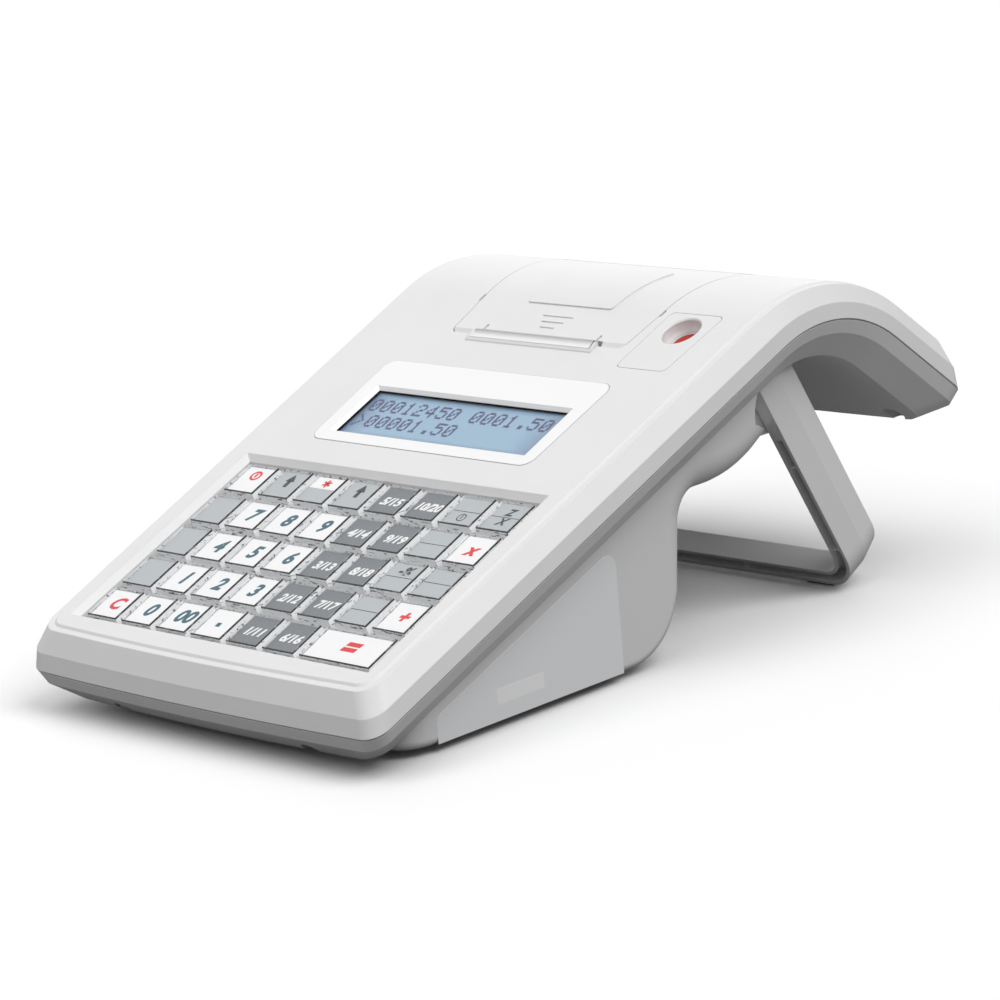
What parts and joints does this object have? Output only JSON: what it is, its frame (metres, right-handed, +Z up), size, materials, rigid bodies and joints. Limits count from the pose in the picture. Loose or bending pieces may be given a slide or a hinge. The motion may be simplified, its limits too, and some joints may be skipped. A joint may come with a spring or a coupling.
{
  "type": "portable cash register",
  "caption": "Portable cash register with a sloping keyboard, a display, a ticket printer under a hinged cover and a fold-out stand.",
  "frame": {"origin": "on the table under the middle of the register", "axes": "+X towards the operator's right, +Y away from the operator towards the tail, +Z up"},
  "size_m": [0.1936, 0.3024, 0.1208],
  "materials": {
    "case_plastic": "fine satin, white",
    "bezel": "gloss white",
    "window": "clear",
    "display": "blue backlit liquid crystal",
    "white_key": "clear cap over a white card",
    "grey_key": "clear cap over a light grey card",
    "dark_key": "clear cap over a dark grey card",
    "key_lattice": "satin, light grey",
    "key_rubber": "matt",
    "circuit_board": "green lacquer",
    "battery": "shrink sleeve, black",
    "mechanism": "satin, dark grey",
    "roller": "ground",
    "paper": "thermal paper",
    "steel": "bright",
    "screw": "blackened",
    "seal_ring": "polished",
    "seal_red": "rough, red",
    "rubber_foot": "matt"
  },
  "bodies": {
    "case": {"upper_case": "case_plastic", "lower_case": "case_plastic", "battery_pack": "battery", "key_frame": "key_lattice", "key_mat": "key_rubber", "circuit_boards": "circuit_board", "display_bezel": "bezel", "display_windows": "window", "display_modules": "display", "tear_bar": "steel", "print_mechanism": "mechanism", "seal_panel": "case_plastic", "seal_cup": "seal_ring", "seal_plug": "seal_red", "case_feet": "rubber_foot", "case_screws": "screw"},
    "printer_cover": {"printer_cover": "case_plastic"},
    "platen_roller": {"platen_roller": "roller"},
    "paper_roll": {"paper_roll": "paper"},
    "stand": {"stand": "case_plastic", "stand_pads": "rubber_foot"},
    "key_row1_col1": {"key_row1_col1": "white_key"},
    "key_row1_col2": {"key_row1_col2": "grey_key"},
    "key_row1_col3": {"key_row1_col3": "white_key"},
    "key_row1_col4": {"key_row1_col4": "grey_key"},
    "key_row1_col5": {"key_row1_col5": "dark_key"},
    "key_row1_col6": {"key_row1_col6": "dark_key"},
    "key_row1_col7": {"key_row1_col7": "grey_key"},
    "key_row1_col8": {"key_row1_col8": "grey_key"},
    "key_row2_col1": {"key_row2_col1": "grey_key"},
    "key_row2_col2": {"key_row2_col2": "white_key"},
    "key_row2_col3": {"key_row2_col3": "white_key"},
    "key_row2_col4": {"key_row2_col4": "white_key"},
    "key_row2_col5": {"key_row2_col5": "dark_key"},
    "key_row2_col6": {"key_row2_col6": "dark_key"},
    "key_row2_col7": {"key_row2_col7": "grey_key"},
    "key_row2_col8": {"key_row2_col8": "white_key"},
    "key_row3_col1": {"key_row3_col1": "grey_key"},
    "key_row3_col2": {"key_row3_col2": "white_key"},
    "key_row3_col3": {"key_row3_col3": "white_key"},
    "key_row3_col4": {"key_row3_col4": "white_key"},
    "key_row3_col5": {"key_row3_col5": "dark_key"},
    "key_row3_col6": {"key_row3_col6": "dark_key"},
    "key_row3_col7": {"key_row3_col7": "grey_key"},
    "key_row3_col8": {"key_row3_col8": "grey_key"},
    "key_row4_col1": {"key_row4_col1": "grey_key"},
    "key_row4_col2": {"key_row4_col2": "white_key"},
    "key_row4_col3": {"key_row4_col3": "white_key"},
    "key_row4_col4": {"key_row4_col4": "white_key"},
    "key_row4_col5": {"key_row4_col5": "dark_key"},
    "key_row4_col6": {"key_row4_col6": "dark_key"},
    "key_row4_col7": {"key_row4_col7": "grey_key"},
    "key_row4_col8": {"key_row4_col8": "white_key"},
    "key_row5_col1": {"key_row5_col1": "white_key"},
    "key_row5_col2": {"key_row5_col2": "white_key"},
    "key_row5_col3": {"key_row5_col3": "white_key"},
    "key_row5_col4": {"key_row5_col4": "white_key"},
    "key_row5_col5": {"key_row5_col5": "dark_key"},
    "key_row5_col6": {"key_row5_col6": "dark_key"},
    "key_row5_col7": {"key_row5_col7": "white_key"}
  },
  "joints": [
    {"name": "printer_cover_hinge", "type": "hinge", "parent": "case", "child": "printer_cover", "pos_m": [0, 0.08988, 0.11581], "axis": [-1, 0, 0], "range_deg": [0, 80]},
    {"name": "stand_hinge", "type": "hinge", "parent": "case", "child": "stand", "pos_m": [0, 0.07187, 0.0764], "axis": [1, 0, 0], "range_deg": [0, 36]},
    {"name": "platen_turn", "type": "hinge", "parent": "printer_cover", "child": "platen_roller", "pos_m": [0, 0.03557, 0.10061], "axis": [1, 0, 0], "continuous": true},
    {"name": "paper_roll_turn", "type": "hinge", "parent": "case", "child": "paper_roll", "pos_m": [0, 0.05237, 0.0885], "axis": [1, 0, 0], "continuous": true},
    {"name": "key_row1_col1_press", "type": "slide", "parent": "case", "child": "key_row1_col1", "axis": [0, 0.3907, -0.9205], "range_m": [0, 0.0025], "stiffness_N_per_m": 200, "springref_m": -0.002},
    {"name": "key_row1_col2_press", "type": "slide", "parent": "case", "child": "key_row1_col2", "axis": [0, 0.3907, -0.9205], "range_m": [0, 0.0025], "stiffness_N_per_m": 200, "springref_m": -0.002},
    {"name": "key_row1_col3_press", "type": "slide", "parent": "case", "child": "key_row1_col3", "axis": [0, 0.3907, -0.9205], "range_m": [0, 0.0025], "stiffness_N_per_m": 200, "springref_m": -0.002},
    {"name": "key_row1_col4_press", "type": "slide", "parent": "case", "child": "key_row1_col4", "axis": [0, 0.3907, -0.9205], "range_m": [0, 0.0025], "stiffness_N_per_m": 200, "springref_m": -0.002},
    {"name": "key_row1_col5_press", "type": "slide", "parent": "case", "child": "key_row1_col5", "axis": [0, 0.3907, -0.9205], "range_m": [0, 0.0025], "stiffness_N_per_m": 200, "springref_m": -0.002},
    {"name": "key_row1_col6_press", "type": "slide", "parent": "case", "child": "key_row1_col6", "axis": [0, 0.3907, -0.9205], "range_m": [0, 0.0025], "stiffness_N_per_m": 200, "springref_m": -0.002},
    {"name": "key_row1_col7_press", "type": "slide", "parent": "case", "child": "key_row1_col7", "axis": [0, 0.3907, -0.9205], "range_m": [0, 0.0025], "stiffness_N_per_m": 200, "springref_m": -0.002},
    {"name": "key_row1_col8_press", "type": "slide", "parent": "case", "child": "key_row1_col8", "axis": [0, 0.3907, -0.9205], "range_m": [0, 0.0025], "stiffness_N_per_m": 200, "springref_m": -0.002},
    {"name": "key_row2_col1_press", "type": "slide", "parent": "case", "child": "key_row2_col1", "axis": [0, 0.3907, -0.9205], "range_m": [0, 0.0025], "stiffness_N_per_m": 200, "springref_m": -0.002},
    {"name": "key_row2_col2_press", "type": "slide", "parent": "case", "child": "key_row2_col2", "axis": [0, 0.3907, -0.9205], "range_m": [0, 0.0025], "stiffness_N_per_m": 200, "springref_m": -0.002},
    {"name": "key_row2_col3_press", "type": "slide", "parent": "case", "child": "key_row2_col3", "axis": [0, 0.3907, -0.9205], "range_m": [0, 0.0025], "stiffness_N_per_m": 200, "springref_m": -0.002},
    {"name": "key_row2_col4_press", "type": "slide", "parent": "case", "child": "key_row2_col4", "axis": [0, 0.3907, -0.9205], "range_m": [0, 0.0025], "stiffness_N_per_m": 200, "springref_m": -0.002},
    {"name": "key_row2_col5_press", "type": "slide", "parent": "case", "child": "key_row2_col5", "axis": [0, 0.3907, -0.9205], "range_m": [0, 0.0025], "stiffness_N_per_m": 200, "springref_m": -0.002},
    {"name": "key_row2_col6_press", "type": "slide", "parent": "case", "child": "key_row2_col6", "axis": [0, 0.3907, -0.9205], "range_m": [0, 0.0025], "stiffness_N_per_m": 200, "springref_m": -0.002},
    {"name": "key_row2_col7_press", "type": "slide", "parent": "case", "child": "key_row2_col7", "axis": [0, 0.3907, -0.9205], "range_m": [0, 0.0025], "stiffness_N_per_m": 200, "springref_m": -0.002},
    {"name": "key_row2_col8_press", "type": "slide", "parent": "case", "child": "key_row2_col8", "axis": [0, 0.3907, -0.9205], "range_m": [0, 0.0025], "stiffness_N_per_m": 200, "springref_m": -0.002},
    {"name": "key_row3_col1_press", "type": "slide", "parent": "case", "child": "key_row3_col1", "axis": [0, 0.3907, -0.9205], "range_m": [0, 0.0025], "stiffness_N_per_m": 200, "springref_m": -0.002},
    {"name": "key_row3_col2_press", "type": "slide", "parent": "case", "child": "key_row3_col2", "axis": [0, 0.3907, -0.9205], "range_m": [0, 0.0025], "stiffness_N_per_m": 200, "springref_m": -0.002},
    {"name": "key_row3_col3_press", "type": "slide", "parent": "case", "child": "key_row3_col3", "axis": [0, 0.3907, -0.9205], "range_m": [0, 0.0025], "stiffness_N_per_m": 200, "springref_m": -0.002},
    {"name": "key_row3_col4_press", "type": "slide", "parent": "case", "child": "key_row3_col4", "axis": [0, 0.3907, -0.9205], "range_m": [0, 0.0025], "stiffness_N_per_m": 200, "springref_m": -0.002},
    {"name": "key_row3_col5_press", "type": "slide", "parent": "case", "child": "key_row3_col5", "axis": [0, 0.3907, -0.9205], "range_m": [0, 0.0025], "stiffness_N_per_m": 200, "springref_m": -0.002},
    {"name": "key_row3_col6_press", "type": "slide", "parent": "case", "child": "key_row3_col6", "axis": [0, 0.3907, -0.9205], "range_m": [0, 0.0025], "stiffness_N_per_m": 200, "springref_m": -0.002},
    {"name": "key_row3_col7_press", "type": "slide", "parent": "case", "child": "key_row3_col7", "axis": [0, 0.3907, -0.9205], "range_m": [0, 0.0025], "stiffness_N_per_m": 200, "springref_m": -0.002},
    {"name": "key_row3_col8_press", "type": "slide", "parent": "case", "child": "key_row3_col8", "axis": [0, 0.3907, -0.9205], "range_m": [0, 0.0025], "stiffness_N_per_m": 200, "springref_m": -0.002},
    {"name": "key_row4_col1_press", "type": "slide", "parent": "case", "child": "key_row4_col1", "axis": [0, 0.3907, -0.9205], "range_m": [0, 0.0025], "stiffness_N_per_m": 200, "springref_m": -0.002},
    {"name": "key_row4_col2_press", "type": "slide", "parent": "case", "child": "key_row4_col2", "axis": [0, 0.3907, -0.9205], "range_m": [0, 0.0025], "stiffness_N_per_m": 200, "springref_m": -0.002},
    {"name": "key_row4_col3_press", "type": "slide", "parent": "case", "child": "key_row4_col3", "axis": [0, 0.3907, -0.9205], "range_m": [0, 0.0025], "stiffness_N_per_m": 200, "springref_m": -0.002},
    {"name": "key_row4_col4_press", "type": "slide", "parent": "case", "child": "key_row4_col4", "axis": [0, 0.3907, -0.9205], "range_m": [0, 0.0025], "stiffness_N_per_m": 200, "springref_m": -0.002},
    {"name": "key_row4_col5_press", "type": "slide", "parent": "case", "child": "key_row4_col5", "axis": [0, 0.3907, -0.9205], "range_m": [0, 0.0025], "stiffness_N_per_m": 200, "springref_m": -0.002},
    {"name": "key_row4_col6_press", "type": "slide", "parent": "case", "child": "key_row4_col6", "axis": [0, 0.3907, -0.9205], "range_m": [0, 0.0025], "stiffness_N_per_m": 200, "springref_m": -0.002},
    {"name": "key_row4_col7_press", "type": "slide", "parent": "case", "child": "key_row4_col7", "axis": [0, 0.3907, -0.9205], "range_m": [0, 0.0025], "stiffness_N_per_m": 200, "springref_m": -0.002},
    {"name": "key_row4_col8_press", "type": "slide", "parent": "case", "child": "key_row4_col8", "axis": [0, 0.3907, -0.9205], "range_m": [0, 0.0025], "stiffness_N_per_m": 200, "springref_m": -0.002},
    {"name": "key_row5_col1_press", "type": "slide", "parent": "case", "child": "key_row5_col1", "axis": [0, 0.3907, -0.9205], "range_m": [0, 0.0025], "stiffness_N_per_m": 200, "springref_m": -0.002},
    {"name": "key_row5_col2_press", "type": "slide", "parent": "case", "child": "key_row5_col2", "axis": [0, 0.3907, -0.9205], "range_m": [0, 0.0025], "stiffness_N_per_m": 200, "springref_m": -0.002},
    {"name": "key_row5_col3_press", "type": "slide", "parent": "case", "child": "key_row5_col3", "axis": [0, 0.3907, -0.9205], "range_m": [0, 0.0025], "stiffness_N_per_m": 200, "springref_m": -0.002},
    {"name": "key_row5_col4_press", "type": "slide", "parent": "case", "child": "key_row5_col4", "axis": [0, 0.3907, -0.9205], "range_m": [0, 0.0025], "stiffness_N_per_m": 200, "springref_m": -0.002},
    {"name": "key_row5_col5_press", "type": "slide", "parent": "case", "child": "key_row5_col5", "axis": [0, 0.3907, -0.9205], "range_m": [0, 0.0025], "stiffness_N_per_m": 200, "springref_m": -0.002},
    {"name": "key_row5_col6_press", "type": "slide", "parent": "case", "child": "key_row5_col6", "axis": [0, 0.3907, -0.9205], "range_m": [0, 0.0025], "stiffness_N_per_m": 200, "springref_m": -0.002},
    {"name": "key_row5_col7_press", "type": "slide", "parent": "case", "child": "key_row5_col7", "axis": [0, 0.3907, -0.9205], "range_m": [0, 0.0025], "stiffness_N_per_m": 200, "springref_m": -0.002}
  ]
}
